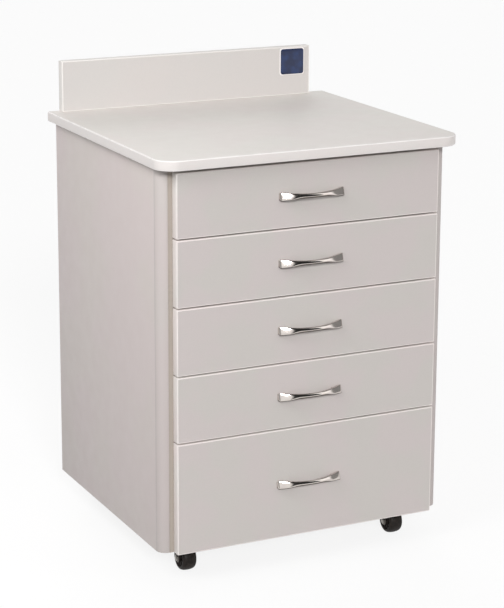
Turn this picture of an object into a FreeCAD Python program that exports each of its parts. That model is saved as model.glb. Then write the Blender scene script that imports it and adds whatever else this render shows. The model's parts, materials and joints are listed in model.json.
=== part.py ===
import FreeCAD, Part
import os
import re

import Sketcher
from FreeCAD import Rotation, Vector

# A laminate cabinet on four swivel casters, with a work top, a splash board and five drawers.
# Millimetres. Z is up and zero at the floor, X runs left to right, the drawers open towards -Y.
# The origin is on the floor, under the middle of the work top.

# Driving sizes. Each one is written once, here.
DRIVING = {
    # work top with its edge band and splash board
    "worktop_width": 610.0,
    "worktop_depth": 558.0,
    "worktop_height": 800.0,
    "worktop_thickness": 19.0,
    "worktop_corner_radius": 38.0,
    "edge_band_thickness": 3.0,
    "edge_band_easing": 2.0,
    "splash_height": 100.0,
    "splash_thickness": 19.0,
    "splash_left_inset": 24.0,
    "splash_right_inset": 42.0,
    "splash_easing": 1.5,
    # how far the work top stands out past the body
    "side_overhang": 11.0,
    "front_overhang": 22.0,
    "rear_overhang": 15.0,
    # body boards
    "board_thickness": 19.0,
    "side_edge_round": 18.5,
    "back_board_thickness": 6.0,
    "ground_clearance": 60.0,
    "rail_depth": 90.0,
    # drawer fronts
    "front_thickness": 19.0,
    "front_easing": 1.2,
    "front_gap": 3.0,
    "front_side_reveal": 8.0,
    "front_closing_gap": 0.5,
    "top_front_height": 119.0,
    "middle_front_height": 123.5,
    "bottom_front_height": 211.5,
    "top_reveal": 8.0,
    # drawer boxes
    "box_wall": 12.0,
    "box_length": 450.0,
    "box_rise": 14.0,
    "top_box_drop": 19.0,
    "middle_box_drop": 23.5,
    "bottom_box_drop": 15.5,
    "lowest_box_clearance": 8.0,
    "box_floor_thickness": 6.0,
    "box_floor_rise": 10.0,
    "groove_depth": 6.0,
    "groove_play": 0.2,
    # ball bearing slides, one pair for each drawer
    "slide_thickness": 12.7,
    "slide_height": 45.0,
    "slide_length": 448.0,
    "slide_setback": 2.0,
    "slide_web": 1.2,
    "slide_race": 2.4,
    "slide_play": 0.35,
    "slide_lip": 2.9,
    "slide_rise": 18.0,
    # bow handles
    "handle_length": 132.0,
    "handle_projection": 20.0,
    "handle_end_depth": 4.5,
    "handle_foot": 10.5,
    "handle_end_height": 16.0,
    "handle_middle_height": 8.5,
    "handle_strap": 4.5,
    "handle_post_radius": 4.5,
    "handle_screw_spacing": 96.0,
    "screw_radius": 2.0,
    "screw_play": 0.25,
    "screw_thread_play": 0.05,
    "screw_depth_in_post": 6.0,
    "screw_head_radius": 4.0,
    "screw_head_top_radius": 3.0,
    "screw_head_height": 2.4,
    # casters
    "caster_height": 64.0,
    "caster_side_inset": 35.0,
    "caster_front_inset": 30.5,
    "caster_rear_inset": 48.0,
    "caster_trail": 20.0,
    "wheel_radius": 25.0,
    "wheel_width": 28.0,
    "wheel_shoulder": 6.0,
    "wheel_rim_radius": 18.0,
    "wheel_hub_radius": 8.0,
    "wheel_dish": 3.0,
    "wheel_play": 0.5,
    "fork_leg": 2.0,
    "fork_leg_end_radius": 9.0,
    "fork_crown": 2.5,
    "fork_crown_back": 19.0,
    "fork_skirt": 9.0,
    "race_ring_radius": 15.0,
    "race_gap": 0.3,
    "race_ring_height": 2.6,
    "plate_size": 58.0,
    "plate_thickness": 2.5,
    "plate_corner_radius": 6.0,
    "plate_hole_spacing": 42.0,
    "plate_hole_radius": 2.8,
    "kingpin_radius": 5.0,
    "kingpin_play": 0.05,
    "kingpin_head_radius": 7.5,
    "kingpin_head_height": 2.0,
    "axle_radius": 3.0,
    "axle_play": 0.05,
    "axle_head_radius": 5.8,
    "axle_head_height": 3.0,
    "axle_end": 1.0,
    "plate_screw_radius": 2.2,
    "plate_screw_length": 15.0,
    "plate_screw_head_radius": 4.5,
    "plate_screw_head_height": 2.2,
    # how far a cutting shape runs past what it cuts
    "overrun": 5.0,
}

# Drawers are numbered from the top. The first and the last have heights of their own.
DRAWERS = ("1", "2", "3", "4", "5")
MIDDLE_DRAWERS = len(DRAWERS) - 2

# Sizes and places worked out from the driving ones.
DERIVED = {
    "worktop_side": "worktop_width / 2",
    "worktop_rear": "worktop_depth / 2",
    "body_top": "worktop_height - worktop_thickness",
    "body_side": "worktop_side - side_overhang",
    "body_rear": "worktop_rear - rear_overhang",
    "carcass_side": "body_side - board_thickness",
    "inner_side": "carcass_side - board_thickness",
    "face_y": "front_overhang - worktop_rear",
    "front_back_y": "face_y + front_thickness",
    "carcass_front": "front_back_y + front_closing_gap",
    "carcass_rear": "body_rear - back_board_thickness",
    "floor_board_top": "caster_height + board_thickness",
    "front_side": "carcass_side - front_side_reveal",
    # the fronts keep their proportions and fill the height that the body leaves them
    "front_gaps": f"{len(DRAWERS) - 1} * front_gap",
    "front_stack": "body_top - top_reveal - ground_clearance - front_gaps",
    "nominal_stack": f"top_front_height + {MIDDLE_DRAWERS} * middle_front_height + bottom_front_height",
    "front_fill_share": "front_stack / nominal_stack",
    "top_front": "top_front_height * front_fill_share",
    "middle_front": "middle_front_height * front_fill_share",
    "bottom_front": "bottom_front_height * front_fill_share",
    "front_pitch": "middle_front + front_gap",
    "first_middle_front": "ground_clearance + bottom_front + front_gap",
    "top_front_base": f"first_middle_front + {MIDDLE_DRAWERS} * front_pitch",
    "box_side": "inner_side - slide_thickness",
    "box_front_y": "front_back_y",
    "box_rear_y": "front_back_y + box_length",
    "slide_front_y": "carcass_front + slide_setback",
    "slide_rear_y": "slide_front_y + slide_length",
    "fixed_reach": "slide_thickness - slide_lip",
    "middle_web": "slide_web + slide_play",
    "middle_reach": "slide_thickness - slide_web - slide_play",
    "drawer_member_tip": "middle_web + slide_web + slide_play",
    "middle_half_height": "slide_height / 2 - slide_race - slide_play",
    "inner_half_height": "middle_half_height - slide_race - slide_play",
    "handle_half": "handle_length / 2",
    "bow_rise": "handle_projection - handle_end_depth",
    "bow_radius": "(handle_half ^ 2 + bow_rise ^ 2) / (2 * bow_rise)",
    "bow_centre_y": "face_y - handle_projection + bow_radius",
    "grip_half": "handle_half - handle_foot",
    "grip_depth": "handle_projection - handle_strap",
    "grip_radius": "(grip_half ^ 2 + grip_depth ^ 2) / (2 * grip_depth)",
    "grip_centre_y": "face_y - grip_depth + grip_radius",
    "waist_sagitta": "(handle_end_height - handle_middle_height) / 2",
    "waist_radius": "(handle_half ^ 2 + waist_sagitta ^ 2) / (2 * waist_sagitta)",
    "post_x": "handle_screw_spacing / 2",
    "post_top_y": "bow_centre_y - sqrt((bow_radius - handle_strap / 2) ^ 2 - post_x ^ 2)",
    "screw_tip_y": "face_y - screw_depth_in_post",
    "screw_head_y": "front_back_y + box_wall",
    "caster_x": "inner_side - caster_side_inset",
    "caster_front_y": "carcass_front + caster_front_inset",
    "caster_rear_y": "carcass_rear - caster_rear_inset",
    "plate_base": "caster_height - plate_thickness",
    "race_top": "plate_base - race_gap",
    "crown_top": "race_top - race_ring_height",
    "crown_base": "crown_top - fork_crown",
    "fork_inner": "wheel_width / 2 + wheel_play",
    "fork_outer": "fork_inner + fork_leg",
    "plate_hole": "plate_hole_spacing / 2",
}

# The side and the place along Y of each caster's swivel axis.
CORNERS = {
    "front_left": (-1, "caster_front_y"),
    "front_right": (1, "caster_front_y"),
    "rear_left": (-1, "caster_rear_y"),
    "rear_right": (1, "caster_rear_y"),
}

# How closely an edge has to meet a test, as a share of its direction and in millimetres.
DIRECTION_SLACK_SHARE = 1e-6
PLACE_SLACK = 1e-4
FULL_TURN = 360.0
NUT_SIDES = 6

doc = FreeCAD.newDocument("cabinet")
sheet = doc.addObject("Spreadsheet::Sheet", "Sizes")
for row, (name, size) in enumerate(list(DRIVING.items()) + list(DERIVED.items()), start=1):
    sheet.set(f"A{row}", name)
    sheet.set(f"B{row}", str(size) if name in DRIVING else f"={size}")
    sheet.setAlias(f"B{row}", name)
doc.recompute()

PARTS = {}


def bound(text):
    """A sum of size names as an expression on the sheet."""
    def cell(match):
        word = match.group(0)
        return f"Sizes.{word}" if word in DRIVING or word in DERIVED else word
    return re.sub(r"[a-z_][a-z_0-9]*", cell, str(text))


def value(name):
    """The number that a cell of the sheet holds."""
    return float(sheet.get(name))


def place(item, x="0", y="0", z="0"):
    """Bind the place of an object to sums of sizes."""
    for axis, text in (("x", x), ("y", y), ("z", z)):
        item.setExpression(f"Placement.Base.{axis}", bound(text))
    return item


def part(label, item):
    """Name an object as one sub-part of the cabinet."""
    item.Label = label
    PARTS[label] = item
    return item


def block(name, x, y, z):
    """A square-edged board between a low and a high place on each axis."""
    box = doc.addObject("Part::Box", name)
    for size, (low, high) in (("Length", x), ("Width", y), ("Height", z)):
        box.setExpression(size, bound(f"({high}) - ({low})"))
    return place(box, x[0], y[0], z[0])


AXES = {
    "x": Rotation(Vector(0, 0, 1), Vector(1, 0, 0)),
    "y": Rotation(Vector(0, 0, 1), Vector(0, 1, 0)),
    "z": Rotation(),
}


def rod(name, radius, length, axis, at):
    """A round bar that starts at a place and runs along one axis."""
    bar = doc.addObject("Part::Cylinder", name)
    bar.setExpression("Radius", bound(radius))
    bar.setExpression("Height", bound(length))
    bar.Placement.Rotation = AXES[axis]
    return place(bar, *at)


def cone(name, low_radius, high_radius, length, axis, at):
    """A round bar that tapers along one axis."""
    bar = doc.addObject("Part::Cone", name)
    bar.setExpression("Radius1", bound(low_radius))
    bar.setExpression("Radius2", bound(high_radius))
    bar.setExpression("Height", bound(length))
    bar.Placement.Rotation = AXES[axis]
    return place(bar, *at)


def hexagon(name, radius, length, at):
    """A six-sided bar along X."""
    bar = doc.addObject("Part::Prism", name)
    bar.Polygon = NUT_SIDES
    bar.setExpression("Circumradius", bound(radius))
    bar.setExpression("Height", bound(length))
    bar.Placement.Rotation = AXES["x"]
    return place(bar, *at)


def fused(name, items):
    """Several touching shapes as one solid."""
    joined = doc.addObject("Part::MultiFuse", name)
    joined.Shapes = items
    joined.Refine = True
    return joined


def cut(name, base, tools):
    """A shape with one or more others taken out of it."""
    taken = doc.addObject("Part::Cut", name)
    taken.Base = base
    taken.Tool = tools[0] if len(tools) == 1 else fused(f"{name}_tools", tools)
    return taken


def group(name, items):
    """Separate solids that share one sub-part."""
    together = doc.addObject("Part::Compound", name)
    together.Links = items
    return together


def mirrored(name, item):
    """The same piece on the other side of the cabinet."""
    copy = doc.addObject("Part::Mirroring", name)
    copy.Source = item
    copy.Normal = Vector(1, 0, 0)
    return copy


def sketch_on(body, name, role):
    """A sketch on one of a body's own origin planes."""
    plane = next(item for item in body.Origin.OriginFeatures if item.Role == role)
    sketch = body.newObject("Sketcher::SketchObject", name)
    sketch.AttachmentSupport = [(plane, "")]
    sketch.MapMode = "FlatFace"
    return sketch


def pin_point(sketch, geometry, corner, across, up):
    """Hold one point of a sketch at sums of sizes from the sketch's origin."""
    for kind, text in (("DistanceX", across), ("DistanceY", up)):
        index = sketch.addConstraint(Sketcher.Constraint(kind, -1, 1, geometry, corner, sheet_sum(text)))
        sketch.setExpression(f"Constraints[{index}]", bound(text))


def polygon(sketch, points):
    """A closed outline of straight lines through points given as sums of sizes."""
    count = len(points)
    spots = [Vector(sheet_sum(across), sheet_sum(up), 0) for across, up in points]
    for start in range(count):
        sketch.addGeometry(Part.LineSegment(spots[start], spots[(start + 1) % count]), False)
    for start in range(count):
        end = (start + 1) % count
        sketch.addConstraint(Sketcher.Constraint("Coincident", start, 2, end, 1))
    for start, (across, up) in enumerate(points):
        pin_point(sketch, start, 1, across, up)
    return sketch


def sheet_sum(text):
    """Work out a sum of sizes with the sheet's own arithmetic."""
    return float(sheet.evalExpression(bound(text)))


def rectangle(sketch, across, up):
    """A four-sided outline between a low and a high place on each axis."""
    low, high = across
    base, top = up
    return polygon(sketch, [(low, base), (high, base), (high, top), (low, top)])


def circles(sketch, radius, centres):
    """Round outlines of one radius at places given as sums of sizes."""
    for across, up in centres:
        centre = Vector(sheet_sum(across), sheet_sum(up), 0)
        ring = sketch.addGeometry(Part.Circle(centre, Vector(0, 0, 1), sheet_sum(radius)), False)
        index = sketch.addConstraint(Sketcher.Constraint("Radius", ring, sheet_sum(radius)))
        sketch.setExpression(f"Constraints[{index}]", bound(radius))
        pin_point(sketch, ring, 3, across, up)
    return sketch


def feature(body, kind, name, profile, length, both_ways=False, backwards=False):
    """A pad or a pocket of a sketch, with its length bound to the sheet."""
    before = body.Tip.Shape.Volume if kind == "Pocket" else 0.0
    made = body.newObject(f"PartDesign::{kind}", name)
    made.Profile = profile
    made.setExpression("Length", bound(length))
    made.Midplane = both_ways
    made.Reversed = backwards
    doc.recompute()
    if kind == "Pocket" and made.Shape.Volume >= before:
        raise RuntimeError(f"{name} cuts nothing")
    return made


def eased(body, name, base, radius, wanted):
    """Round those edges of a feature that a test picks out."""
    picked = [f"Edge{number}" for number, edge in enumerate(base.Shape.Edges, start=1) if wanted(edge)]
    fillet = body.newObject("PartDesign::Fillet", name)
    fillet.Base = (base, picked)
    fillet.setExpression("Radius", bound(radius))
    doc.recompute()
    return fillet


def runs_along(edge, axis):
    """Whether an edge is straight and lies along an axis."""
    if len(edge.Vertexes) != 2:
        return False
    start, end = (corner.Point for corner in edge.Vertexes)
    run = end - start
    return run.Length > 0 and abs(abs(run.normalize().dot(axis)) - 1) < DIRECTION_SLACK_SHARE


def all_at(edge, axis, where):
    """Whether every end of an edge lies at one place along an axis."""
    return all(abs(corner.Point.dot(axis) - where) < PLACE_SLACK for corner in edge.Vertexes)


X, Y, Z = Vector(1, 0, 0), Vector(0, 1, 0), Vector(0, 0, 1)


def worktop_slab(name, inset, corner_radius, easing=None):
    """A slab with two rounded front corners, drawn in from the work top's outline."""
    body = doc.addObject("PartDesign::Body", name)
    outline = rectangle(
        sketch_on(body, f"{name}_outline", "XY_Plane"),
        (f"{inset} - worktop_side", f"worktop_side - {inset}"),
        (f"{inset} - worktop_rear", "worktop_rear"),
    )
    slab = feature(body, "Pad", f"{name}_slab", outline, "worktop_thickness")
    front = sheet_sum(f"{inset} - worktop_rear")
    last = eased(
        body, f"{name}_corners", slab, corner_radius,
        lambda edge: runs_along(edge, Z) and all_at(edge, Y, front),
    )
    if easing:
        rear = value("worktop_rear")
        faces = (0.0, value("worktop_thickness"))
        last = eased(
            body, f"{name}_easing", last, easing,
            lambda edge: any(all_at(edge, Z, level) for level in faces) and not all_at(edge, Y, rear),
        )
    place(body, z="body_top")
    return body


def make_worktop():
    """The work top's core, and the band glued round its front and ends."""
    core_radius = "worktop_corner_radius - edge_band_thickness"
    core = part("worktop", worktop_slab("worktop", "edge_band_thickness", core_radius))
    outer = worktop_slab("band_outer", "0", "worktop_corner_radius", "edge_band_easing")
    part("worktop_edge_band", cut("worktop_edge_band", outer, [core]))


def make_splash_board():
    """The upright board along the rear of the work top."""
    body = part("backsplash", doc.addObject("PartDesign::Body", "backsplash"))
    outline = rectangle(
        sketch_on(body, "splash_outline", "XY_Plane"),
        ("splash_left_inset - worktop_side", "worktop_side - splash_right_inset"),
        ("worktop_rear - splash_thickness", "worktop_rear"),
    )
    board = feature(body, "Pad", "splash_board", outline, "splash_height")
    top = value("splash_height")
    eased(body, "splash_easing", board, "splash_easing", lambda edge: all_at(edge, Z, top))
    place(body, z="worktop_height")


def make_side_panel(side, name):
    """An outer side board whose front edge is rolled round a quarter circle."""
    body = part(name, doc.addObject("PartDesign::Body", name))
    outline = rectangle(
        sketch_on(body, f"{name}_outline", "XY_Plane"),
        (f"{side} * carcass_side", f"{side} * body_side"),
        ("carcass_front", "body_rear"),
    )
    board = feature(body, "Pad", f"{name}_board", outline, "body_top - ground_clearance")
    front = value("carcass_front")
    outside = side * value("body_side")
    eased(
        body, f"{name}_round", board, "side_edge_round",
        lambda edge: runs_along(edge, Z) and all_at(edge, Y, front) and all_at(edge, X, outside),
    )
    place(body, z="ground_clearance")


def make_carcass():
    """The boards that carry the slides, the work top and the casters."""
    for side, name in ((-1, "left"), (1, "right")):
        make_side_panel(side, f"side_panel_{name}")
    depth = ("carcass_front", "carcass_rear")
    part("carcass_side_left", block(
        "carcass_side_left", ("-carcass_side", "-inner_side"), depth, ("ground_clearance", "body_top"),
    ))
    part("carcass_side_right", block(
        "carcass_side_right", ("inner_side", "carcass_side"), depth, ("ground_clearance", "body_top"),
    ))
    part("back_panel", block(
        "back_panel", ("-carcass_side", "carcass_side"), ("carcass_rear", "body_rear"),
        ("ground_clearance", "body_top"),
    ))
    rail_height = ("body_top - board_thickness", "body_top")
    inside = ("-inner_side", "inner_side")
    part("top_rails", group("top_rails", [
        block("front_rail", inside, ("carcass_front", "carcass_front + rail_depth"), rail_height),
        block("rear_rail", inside, ("carcass_rear - rail_depth", "carcass_rear"), rail_height),
    ]))
    board = block("floor_board", inside, depth, ("caster_height", "floor_board_top"))
    holes = [
        rod(
            f"pilot_{name}_{number}", "plate_screw_radius + screw_thread_play",
            "plate_screw_length - plate_thickness + screw_thread_play + overrun", "z",
            (across, along, "caster_height - overrun"),
        )
        for name in CORNERS
        for number, (across, along) in enumerate(plate_holes(name))
    ]
    part("bottom_panel", cut("bottom_panel", board, holes))


def plate_holes(corner):
    """The four screw places of one caster's plate."""
    side, swivel_y = CORNERS[corner]
    return [
        (f"{side} * caster_x + {across} * plate_hole", f"{swivel_y} + {along} * plate_hole")
        for across in (-1, 1)
        for along in (-1, 1)
    ]


def channel(name, outer, inner, half_height, along, level, web_outside):
    """One roll-formed slide member: a web with a race along its top and bottom edge."""
    bar = block(
        f"{name}_bar", (outer, inner), along, (f"{level} - {half_height}", f"{level} + {half_height}"),
    )
    hollow = (f"{outer} - overrun", f"{inner} - slide_web")
    if web_outside:
        hollow = (f"{outer} + slide_web", f"{inner} + overrun")
    ends = (f"{along[0]} - overrun", f"{along[1]} + overrun")
    inside = f"{half_height} - slide_race"
    space = block(f"{name}_space", hollow, ends, (f"{level} - ({inside})", f"{level} + ({inside})"))
    return cut(name, bar, [space])


def slide_pair(name, outer, inner, half_height, level, web_outside):
    """A slide member on the left of the cabinet and its twin on the right."""
    along = ("slide_front_y", "slide_rear_y")
    left = channel(f"{name}_left", outer, inner, half_height, along, level, web_outside)
    return [left, mirrored(f"{name}_right", left)]


def drawer_levels(drawer):
    """Where a drawer's front starts and ends, and where its box starts and ends."""
    if drawer == DRAWERS[-1]:
        base, height, drop = "ground_clearance", "bottom_front", "bottom_box_drop"
        floor = "floor_board_top + lowest_box_clearance"
    elif drawer == DRAWERS[0]:
        base, height, drop = "top_front_base", "top_front", "top_box_drop"
        floor = f"{base} + box_rise"
    else:
        steps = len(DRAWERS) - 1 - int(drawer)
        base, height, drop = f"first_middle_front + {steps} * front_pitch", "middle_front", "middle_box_drop"
        floor = f"{base} + box_rise"
    top = f"{base} + {height}"
    return base, top, floor, f"{top} - {drop}"


def make_slides():
    """The telescopic slides: a member on the cabinet, one between, and one on the drawer."""
    fixed = []
    for drawer in DRAWERS:
        _, _, floor, _ = drawer_levels(drawer)
        level = f"{floor} + slide_rise + slide_height / 2"
        fixed += slide_pair(
            f"fixed_member_{drawer}", "-inner_side", "fixed_reach - inner_side",
            "slide_height / 2", level, True,
        )
        part(f"slide_middle_{drawer}", group(f"slide_middle_{drawer}", slide_pair(
            f"middle_member_{drawer}", "middle_web - inner_side",
            "middle_reach - inner_side", "middle_half_height", level, True,
        )))
        part(f"slide_drawer_{drawer}", group(f"slide_drawer_{drawer}", slide_pair(
            f"drawer_member_{drawer}", "drawer_member_tip - inner_side",
            "-box_side", "inner_half_height", level, False,
        )))
    part("slide_cabinet", group("slide_cabinet", fixed))


def make_front(drawer, base, top, middle):
    """A drawer front with eased edges and two screw holes for its handle."""
    name = f"drawer_front_{drawer}"
    body = part(name, doc.addObject("PartDesign::Body", name))
    outline = rectangle(
        sketch_on(body, f"{name}_outline", "XZ_Plane"), ("-front_side", "front_side"), (base, top),
    )
    board = feature(body, "Pad", f"{name}_board", outline, "front_thickness")
    face = -value("front_thickness")
    eased(body, f"{name}_easing", board, "front_easing", lambda edge: all_at(edge, Y, face))
    spots = circles(
        sketch_on(body, f"{name}_spots", "XZ_Plane"), "screw_radius + screw_play",
        [("-post_x", middle), ("post_x", middle)],
    )
    feature(body, "Pocket", f"{name}_holes", spots, "front_thickness + overrun", backwards=True)
    place(body, y="front_back_y")


def make_box(drawer, floor, rim, middle):
    """The four boards round a drawer, grooved for its floor, and the floor itself."""
    inside = "box_side - box_wall"
    groove = (
        f"{floor} + box_floor_rise",
        f"{floor} + box_floor_rise + box_floor_thickness + groove_play",
    )
    front = ("box_front_y", "box_front_y + box_wall")
    rear = ("box_rear_y - box_wall", "box_rear_y")
    reach = f"{inside} + groove_depth"
    recess = block(
        f"floor_recess_{drawer}", (f"-({reach})", reach),
        ("box_front_y + box_wall - groove_depth", "box_rear_y - box_wall + groove_depth"), groove,
    )
    side = block(f"box_left_{drawer}", ("-box_side", f"-({inside})"), ("box_front_y", "box_rear_y"),
                 (floor, rim))
    left = cut(f"box_left_grooved_{drawer}", side, [recess])
    shafts = [
        rod(f"box_hole_{drawer}_{end}", "screw_radius + screw_play", "box_wall + 2 * overrun", "y",
            (f"{end} * post_x", "box_front_y - overrun", middle))
        for end in (-1, 1)
    ]
    across = (f"-({inside})", inside)
    front_wall = block(f"box_front_{drawer}", across, front, (floor, rim))
    rear_wall = block(f"box_rear_{drawer}", across, rear, (floor, rim))
    part(f"drawer_box_{drawer}", group(f"drawer_box_{drawer}", [
        left,
        mirrored(f"box_right_grooved_{drawer}", left),
        cut(f"box_front_drilled_{drawer}", front_wall, [recess] + shafts),
        cut(f"box_rear_grooved_{drawer}", rear_wall, [recess]),
    ]))
    reach_in = f"{reach} - groove_play"
    part(f"drawer_floor_{drawer}", block(
        f"drawer_floor_{drawer}", (f"-({reach_in})", reach_in),
        ("box_front_y + box_wall - groove_depth + groove_play",
         "box_rear_y - box_wall + groove_depth - groove_play"),
        (f"{floor} + box_floor_rise", f"{floor} + box_floor_rise + box_floor_thickness"),
    ))


def make_handle(drawer, middle):
    """A bow pull: a bent strap with a narrow waist, on two posts that take its screws."""
    name = f"handle_{drawer}"
    tall = (f"{middle} - handle_end_height / 2", f"{middle} + handle_end_height / 2")
    low = f"{tall[0]} - overrun"
    height = "handle_end_height + 2 * overrun"
    outer = doc.addObject("Part::Common", f"{name}_outside")
    outer.Base = rod(f"{name}_bow", "bow_radius", "handle_end_height", "z", ("0", "bow_centre_y", tall[0]))
    outer.Tool = block(
        f"{name}_ends", ("-handle_half", "handle_half"), ("face_y - 2 * handle_projection", "face_y"), tall,
    )
    inner = rod(f"{name}_grip", "grip_radius", height, "z", ("0", "grip_centre_y", low))
    waists = [
        rod(
            f"{name}_waist_{word}", "waist_radius", "2 * handle_projection + overrun", "y",
            ("0", "face_y - 2 * handle_projection",
             f"{middle} + {way} * (handle_middle_height / 2 + waist_radius)"),
        )
        for word, way in (("above", 1), ("below", -1))
    ]
    strap = cut(f"{name}_strap", outer, [inner] + waists)
    posts = [
        rod(f"{name}_post_{word}", "handle_post_radius", "face_y - post_top_y", "y",
            (f"{end} * post_x", "post_top_y", middle))
        for word, end in (("left", -1), ("right", 1))
    ]
    threads = [
        rod(f"{name}_thread_{word}", "screw_radius + screw_thread_play", "face_y - screw_tip_y + overrun",
            "y", (f"{end} * post_x", "screw_tip_y - screw_thread_play", middle))
        for word, end in (("left", -1), ("right", 1))
    ]
    part(name, cut(name, fused(f"{name}_solid", [strap] + posts), threads))
    screws = [
        fused(f"{name}_screw_{word}", [
            rod(f"{name}_shank_{word}", "screw_radius", "screw_head_y - screw_tip_y", "y",
                (f"{end} * post_x", "screw_tip_y", middle)),
            cone(f"{name}_head_{word}", "screw_head_radius", "screw_head_top_radius",
                 "screw_head_height", "y", (f"{end} * post_x", "screw_head_y", middle)),
        ])
        for word, end in (("left", -1), ("right", 1))
    ]
    part(f"handle_screws_{drawer}", group(f"handle_screws_{drawer}", screws))


def make_drawers():
    """Five drawers, numbered from the top."""
    for drawer in DRAWERS:
        base, top, floor, rim = drawer_levels(drawer)
        middle = f"(({base}) + ({top})) / 2"
        make_front(drawer, base, top, middle)
        make_box(drawer, floor, rim, middle)
        make_handle(drawer, middle)


def caster_plate(corner):
    """The screwed-on plate of a caster, with its kingpin riveted in."""
    body = doc.addObject("PartDesign::Body", f"plate_{corner}")
    half = "plate_size / 2"
    outline = rectangle(
        sketch_on(body, f"plate_outline_{corner}", "XY_Plane"), (f"-{half}", half), (f"-{half}", half),
    )
    plate = feature(body, "Pad", f"plate_pad_{corner}", outline, "plate_thickness")
    eased(body, f"plate_corners_{corner}", plate, "plate_corner_radius", lambda edge: runs_along(edge, Z))
    spots = [(f"{a} * plate_hole", f"{b} * plate_hole") for a in (-1, 1) for b in (-1, 1)]
    holes = circles(sketch_on(body, f"plate_spots_{corner}", "XY_Plane"), "plate_hole_radius", spots)
    feature(body, "Pocket", f"plate_holes_{corner}", holes, "plate_thickness + overrun", backwards=True)
    pin = circles(sketch_on(body, f"pin_outline_{corner}", "XY_Plane"), "kingpin_radius", [("0", "0")])
    feature(body, "Pad", f"pin_{corner}", pin,
            "plate_base - crown_base + race_gap + kingpin_head_height", backwards=True)
    side, swivel_y = CORNERS[corner]
    place(body, f"{side} * caster_x", swivel_y, "plate_base")
    head = rod(
        f"pin_head_{corner}", "kingpin_head_radius", "kingpin_head_height", "z",
        (f"{side} * caster_x", swivel_y, "crown_base - race_gap - kingpin_head_height"),
    )
    return fused(f"plate_with_pin_{corner}", [body, head])


def make_fork(corner):
    """The swivelling fork: a crown under the plate and two legs down to the axle."""
    name = f"caster_fork_{corner}"
    body = part(name, doc.addObject("PartDesign::Body", name))
    end_radius = "fork_leg_end_radius"
    profile = polygon(sketch_on(body, f"{name}_profile", "YZ_Plane"), [
        ("-fork_crown_back", "crown_top - fork_skirt"),
        (f"caster_trail - {end_radius}", "wheel_radius"),
        (f"caster_trail + {end_radius}", "wheel_radius"),
        (f"caster_trail + {end_radius}", "crown_top"),
        ("-fork_crown_back", "crown_top"),
    ])
    feature(body, "Pad", f"{name}_sides", profile, "2 * fork_outer", both_ways=True)
    ends = circles(
        sketch_on(body, f"{name}_ends", "YZ_Plane"), end_radius, [("caster_trail", "wheel_radius")],
    )
    feature(body, "Pad", f"{name}_round_ends", ends, "2 * fork_outer", both_ways=True)
    slot = rectangle(
        sketch_on(body, f"{name}_slot", "YZ_Plane"),
        ("-fork_crown_back - overrun", "caster_trail + wheel_radius"), ("-overrun", "crown_base"),
    )
    feature(body, "Pocket", f"{name}_wheel_space", slot, "2 * fork_inner", both_ways=True)
    ring = circles(sketch_on(body, f"{name}_ring", "XY_Plane"), "race_ring_radius", [("0", "0")])
    ring.setExpression("AttachmentOffset.Base.z", bound("crown_top"))
    feature(body, "Pad", f"{name}_race", ring, "race_ring_height")
    bore = circles(
        sketch_on(body, f"{name}_bore", "XY_Plane"), "kingpin_radius + kingpin_play", [("0", "0")],
    )
    bore.setExpression("AttachmentOffset.Base.z", bound("race_top + overrun"))
    feature(body, "Pocket", f"{name}_pin_hole", bore, "race_top - crown_base + 2 * overrun")
    hole = circles(
        sketch_on(body, f"{name}_hole", "YZ_Plane"), "axle_radius + axle_play",
        [("caster_trail", "wheel_radius")],
    )
    feature(body, "Pocket", f"{name}_axle_hole", hole, "2 * fork_outer + overrun", both_ways=True)
    side, swivel_y = CORNERS[corner]
    place(body, f"{side} * caster_x", swivel_y, "0")


def make_wheel(corner):
    """A wheel with rounded shoulders, a raised hub and a dished web, bored for its axle."""
    name = f"caster_wheel_{corner}"
    body = part(name, doc.addObject("PartDesign::Body", name))
    half = "wheel_width / 2"
    bore = "axle_radius + axle_play"
    dish = f"{half} - wheel_dish"
    profile = polygon(sketch_on(body, f"{name}_profile", "XY_Plane"), [
        (f"-({half})", bore),
        (half, bore),
        (half, "wheel_hub_radius"),
        (dish, "wheel_hub_radius"),
        (dish, "wheel_rim_radius"),
        (half, "wheel_rim_radius"),
        (half, "wheel_radius"),
        (f"-({half})", "wheel_radius"),
        (f"-({half})", "wheel_rim_radius"),
        (f"-({dish})", "wheel_rim_radius"),
        (f"-({dish})", "wheel_hub_radius"),
        (f"-({half})", "wheel_hub_radius"),
    ])
    spun = body.newObject("PartDesign::Revolution", f"{name}_turned")
    spun.Profile = profile
    spun.ReferenceAxis = (profile, ["H_Axis"])
    spun.Angle = FULL_TURN
    doc.recompute()
    rim = value("wheel_radius")
    eased(
        body, f"{name}_shoulders", spun, "wheel_shoulder",
        lambda edge: hasattr(edge.Curve, "Radius") and abs(edge.Curve.Radius - rim) < PLACE_SLACK,
    )
    side, swivel_y = CORNERS[corner]
    place(body, f"{side} * caster_x", f"{swivel_y} + caster_trail", "wheel_radius")


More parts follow.
